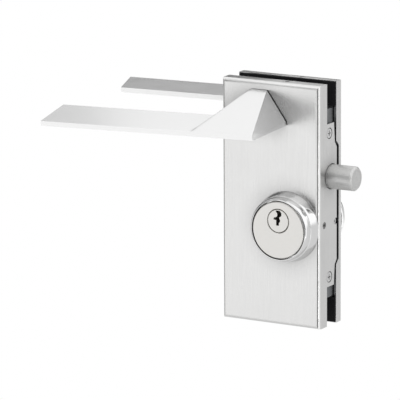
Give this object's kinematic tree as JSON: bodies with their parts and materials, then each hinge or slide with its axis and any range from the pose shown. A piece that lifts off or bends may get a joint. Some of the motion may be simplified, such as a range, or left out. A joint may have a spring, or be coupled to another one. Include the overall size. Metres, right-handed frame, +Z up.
{
  "type": "glass door patch lock",
  "caption": "Patch lock for a frameless glass door: two covers clamp the glass round a case with a round bolt, lever handles on both sides, a key cylinder and a thumb turn.",
  "frame": {"origin": "middle of the two covers, at the middle of the glass thickness", "axes": "+X the way the bolt leaves the door's edge, +Y through the glass from the key side to the thumb turn side, +Z up"},
  "size_m": [0.1826, 0.1143, 0.14],
  "materials": {
    "satin_steel": "satin stainless steel, brushed up and down",
    "lever_steel": "fine satin stainless steel",
    "polished_steel": "polished",
    "cylinder_nickel": "brass with satin nickel plating",
    "bolt_steel": "turned steel",
    "plated_steel": "dull zinc plating",
    "screw_steel": "bright screw steel",
    "cast_case": "cast zinc, dark grey",
    "brass_parts": "plain machined brass",
    "gasket_rubber": "matt black rubber",
    "black_nylon": "black nylon"
  },
  "bodies": {
    "body": {"front_cover": "satin_steel", "rear_cover": "satin_steel", "front_clamp_plate": "plated_steel", "rear_clamp_plate": "plated_steel", "front_gasket": "gasket_rubber", "rear_gasket": "gasket_rubber", "lock_case": "cast_case", "case_lid": "plated_steel", "lid_screws": "screw_steel", "clamp_screws": "screw_steel", "tab_screws": "screw_steel", "cover_set_screws": "screw_steel", "cylinder_set_screws": "screw_steel", "front_collar": "polished_steel", "rear_collar": "polished_steel", "front_cylinder": "cylinder_nickel", "rear_cylinder": "cylinder_nickel", "front_lever_bush": "black_nylon", "rear_lever_bush": "black_nylon", "rocker_pin": "screw_steel", "bolt_bush": "black_nylon", "bolt_spring": "screw_steel"},
    "handle": {"front_lever": "lever_steel", "rear_lever": "lever_steel", "spindle": "plated_steel", "follower": "brass_parts", "lever_screws": "screw_steel"},
    "rocker": {"rocker": "plated_steel"},
    "bolt": {"bolt": "bolt_steel", "bolt_tail": "plated_steel", "tail_rivets": "screw_steel"},
    "turn": {"front_plug": "cylinder_nickel", "tailpiece": "screw_steel", "crank": "brass_parts", "thumb_turn": "satin_steel"},
    "slide": {"lock_slide": "brass_parts"}
  },
  "joints": [
    {"name": "lever_turn", "type": "hinge", "parent": "body", "child": "handle", "pos_m": [-0.007, 0, 0.0555], "axis": [0, -1, 0], "range_deg": [0, 45], "stiffness_Nm_per_rad": 1, "springref_deg": -20.05},
    {"name": "rocker_turn", "type": "hinge", "parent": "body", "child": "rocker", "pos_m": [-0.007, 0, 0.034], "axis": [0, 1, 0], "range_deg": [0, 53]},
    {"name": "bolt_draw", "type": "slide", "parent": "body", "child": "bolt", "axis": [-1, 0, 0], "range_m": [0, 0.0161], "deforming": ["bolt_spring"]},
    {"name": "key_turn", "type": "hinge", "parent": "body", "child": "turn", "pos_m": [0.011, 0, -0.00675], "axis": [0, 1, 0], "range_deg": [0, 90]},
    {"name": "slide_lift", "type": "slide", "parent": "body", "child": "slide", "axis": [0, 0, 1], "range_m": [0, 0.0051]}
  ],
  "couplings": [
    {"joint": "rocker_turn", "follows": "lever_turn", "ratio": 1.1727},
    {"joint": "bolt_draw", "follows": "lever_turn", "m_per_rad": 0.020372},
    {"joint": "slide_lift", "follows": "key_turn", "m_per_rad": 0.0031831}
  ]
}
